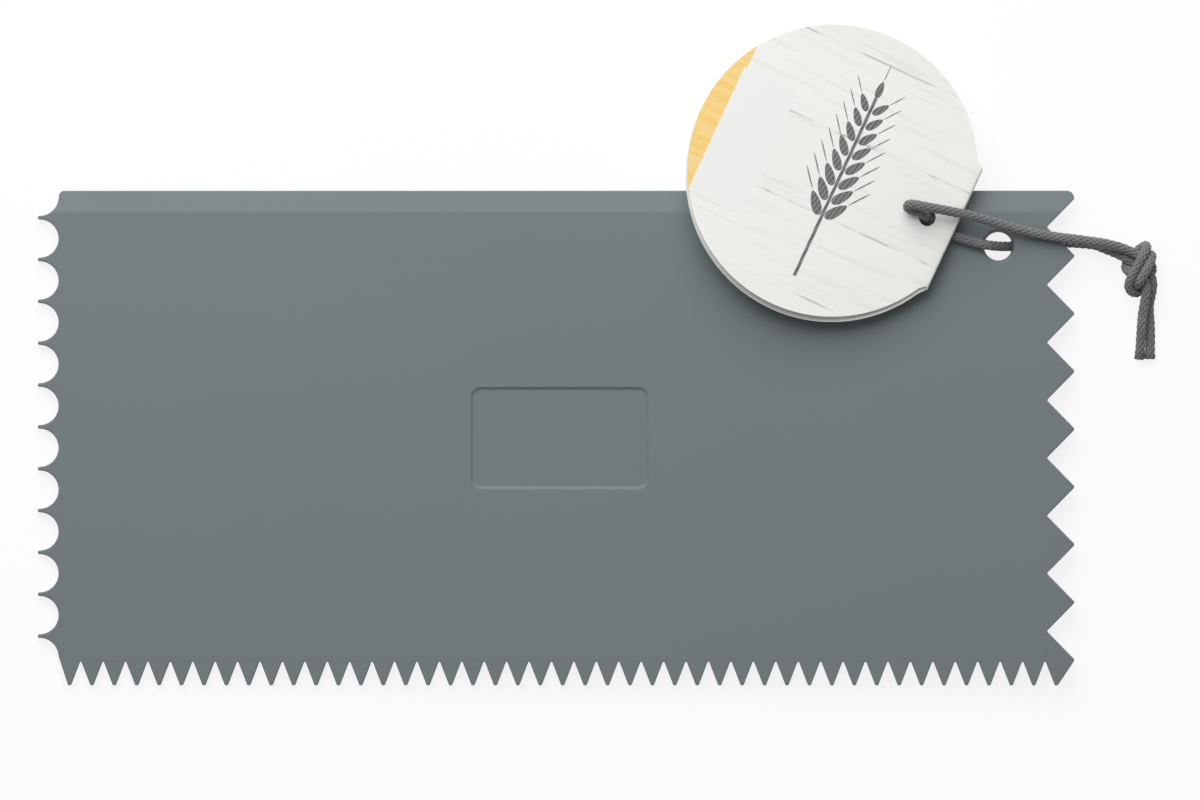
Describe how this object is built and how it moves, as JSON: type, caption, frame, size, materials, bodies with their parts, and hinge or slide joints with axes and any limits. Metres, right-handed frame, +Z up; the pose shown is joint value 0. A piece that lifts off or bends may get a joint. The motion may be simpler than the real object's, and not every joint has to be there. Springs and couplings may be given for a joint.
{
  "type": "dough scraper",
  "caption": "Flat plastic dough scraper and icing comb with straight, spiked, fine-toothed and V-notched edges, a hanging hole and a folded round card tag on a knotted cord.",
  "frame": {"origin": "on the table, below the middle of the blade's box (spike tips to V tips, straight edge to fine tooth tips)", "axes": "+X towards the V comb, +Y towards the straight edge, +Z up out of the face; the blade leans by 0.69 degrees because the cord passes under its right end"},
  "size_m": [0.2379, 0.1401, 0.0143],
  "materials": {
    "blade_plastic": "satin grey moulding",
    "tag_card": "printed matt card",
    "cord_cotton": "waxed dark grey cotton"
  },
  "bodies": {
    "blade": {"blade": "blade_plastic"},
    "tag_loop": {"tag_back_leaf": "tag_card", "cord_front_strand": "cord_cotton", "cord_back_strand": "cord_cotton", "cord_knot": "cord_cotton", "cord_left_tail": "cord_cotton", "cord_right_tail": "cord_cotton"},
    "tag_front": {"tag_front_leaf": "tag_card", "cord_bight": "cord_cotton"}
  },
  "joints": [
    {"name": "loop_swing", "type": "hinge", "parent": "blade", "child": "tag_loop", "pos_m": [0.09388, 0.0407, 0.00355], "axis": [-0.012, 0, 0.9999], "range_deg": [-25, 140]},
    {"name": "tag_open", "type": "hinge", "parent": "tag_loop", "child": "tag_front", "pos_m": [0.08403, 0.04428, 0.00793], "axis": [0.4194, 0.9078, 0.005], "range_deg": [-2, 80], "stiffness_Nm_per_rad": 0.03, "springref_deg": 0.57, "deforming": ["cord_bight"]}
  ]
}
